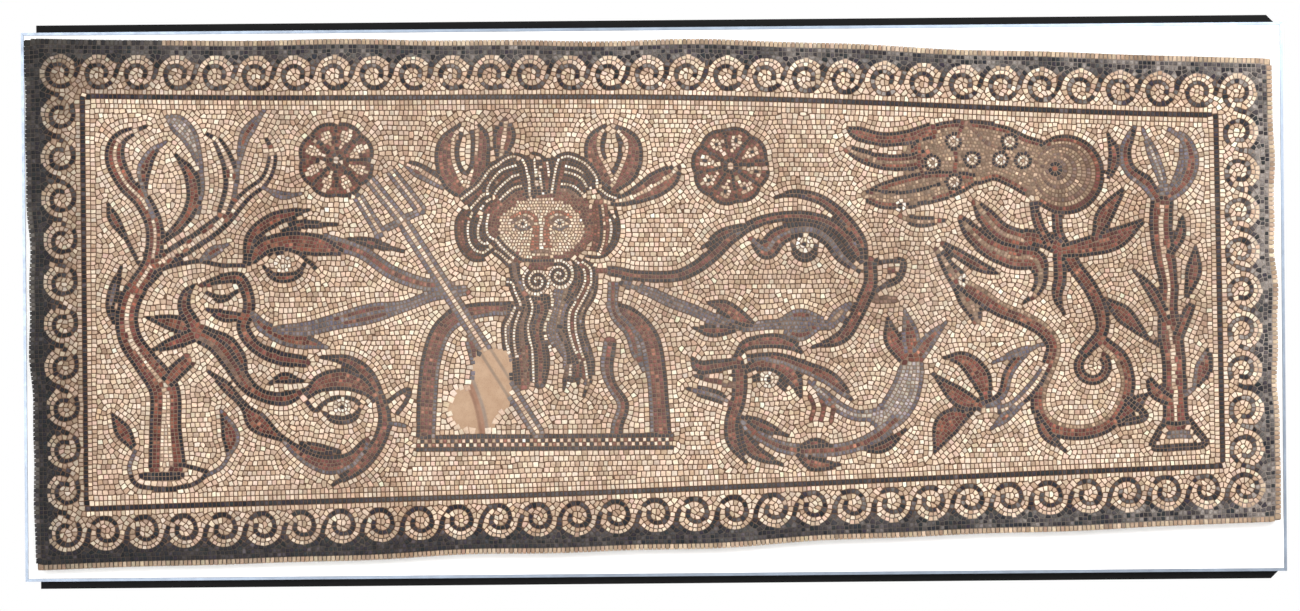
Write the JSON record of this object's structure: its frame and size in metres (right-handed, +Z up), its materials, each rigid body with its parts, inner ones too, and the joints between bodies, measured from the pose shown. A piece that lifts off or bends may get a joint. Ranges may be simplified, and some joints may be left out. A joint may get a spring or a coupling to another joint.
{
  "type": "mosaic panel",
  "caption": "Roman floor mosaic with sea god, sea beasts and trees inside a running-wave border, lifted and mounted on a white board with a black rear frame.",
  "frame": {"origin": "middle of the rear frame's back face, where the panel is fixed to the wall", "axes": "+X along the panel to the viewer's right, +Y into the wall, +Z up; the tesserae look to -Y"},
  "size_m": [3.098, 0.0933, 1.388],
  "materials": {
    "tesserae_ground": "cream and buff limestone tesserae in brown mortar, worn matt",
    "tesserae_dark": "blue-black stone tesserae with pale grey joints, worn matt",
    "tesserae_grey": "mid grey stone tesserae, worn matt",
    "tesserae_red": "dark red brick and sandstone tesserae with dark outlines, worn matt",
    "tesserae_brown": "brown stone tesserae with red and dark lines, worn matt",
    "plaster": "smooth sandy repair plaster with faint painted lines",
    "board_white": "board painted an even satin white",
    "edge_aluminium": "brushed aluminium angle, satin",
    "frame_black": "steel section painted satin black"
  },
  "bodies": {
    "root": {"mosaic_slab": "tesserae_ground", "repair_patch": "plaster", "inlay_trident": "tesserae_grey", "inlay_trident_foot": "tesserae_grey", "inlay_cloak": "tesserae_red", "inlay_god_hair_and_beard": "tesserae_red", "inlay_god_brows_and_nose": "tesserae_brown", "inlay_god_eye_left": "tesserae_dark", "inlay_god_eye_right": "tesserae_dark", "inlay_rosette_left": "tesserae_red", "inlay_rosette_right": "tesserae_red", "inlay_tree_left": "tesserae_red", "inlay_tree_right": "tesserae_red", "inlay_beast_left_upper": "tesserae_red", "inlay_beast_left_lower": "tesserae_red", "inlay_beast_right_upper": "tesserae_red", "inlay_beast_right_lower": "tesserae_red", "inlay_spotted_beast": "tesserae_brown", "inlay_sea_dragon": "tesserae_red", "inlay_leaf_spray": "tesserae_red", "inlay_picture_line": "tesserae_dark", "inlay_wave_border": "tesserae_dark", "backing_board": "board_white", "edge_trim_top": "edge_aluminium", "edge_trim_right": "edge_aluminium", "edge_trim_bottom": "edge_aluminium", "edge_trim_left": "edge_aluminium", "support_rail_top": "frame_black", "support_rail_bottom": "frame_black", "support_upright_1": "frame_black", "support_upright_2": "frame_black", "support_upright_3": "frame_black", "support_upright_4": "frame_black", "support_upright_5": "frame_black"}
  },
  "joints": []
}
